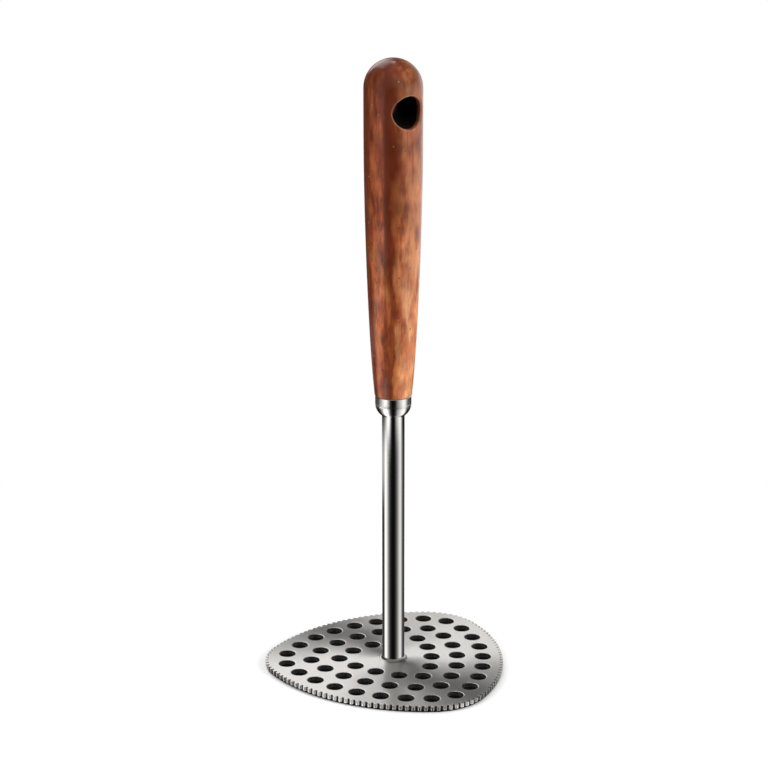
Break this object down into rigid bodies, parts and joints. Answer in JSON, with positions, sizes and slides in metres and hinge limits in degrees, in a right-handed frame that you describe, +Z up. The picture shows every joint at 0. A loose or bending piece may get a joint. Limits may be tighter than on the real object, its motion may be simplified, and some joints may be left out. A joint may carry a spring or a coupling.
{
  "type": "potato masher",
  "caption": "Hand potato masher: flat perforated plate with a toothed rim on a round polished steel shank, with a turned wooden handle that has a hanging hole.",
  "frame": {"origin": "centre of the plate's flat underside, on the shank's axis", "axes": "+Z up along the shank to the handle's domed end; the hanging hole is bored along Y; one corner of the plate points within a few degrees of -Y"},
  "size_m": [0.1071, 0.1072, 0.2746],
  "materials": {
    "plate_steel": "satin stainless steel, finely brushed",
    "weld_steel": "ground and polished weld",
    "polished_steel": "mirror-polished stainless steel",
    "plain_steel": "turned steel, plain",
    "insert_brass": "turned brass",
    "epoxy": "cured epoxy",
    "handle_wood": "oiled and lightly lacquered hardwood, reddish brown"
  },
  "bodies": {
    "root": {"mashing_plate": "plate_steel", "foot_weld": "weld_steel", "shank_tube": "polished_steel", "shank_plug": "plain_steel", "ferrule": "polished_steel", "tie_stud": "plain_steel", "threaded_insert": "insert_brass", "stud_epoxy": "epoxy", "handle": "handle_wood"}
  },
  "joints": []
}
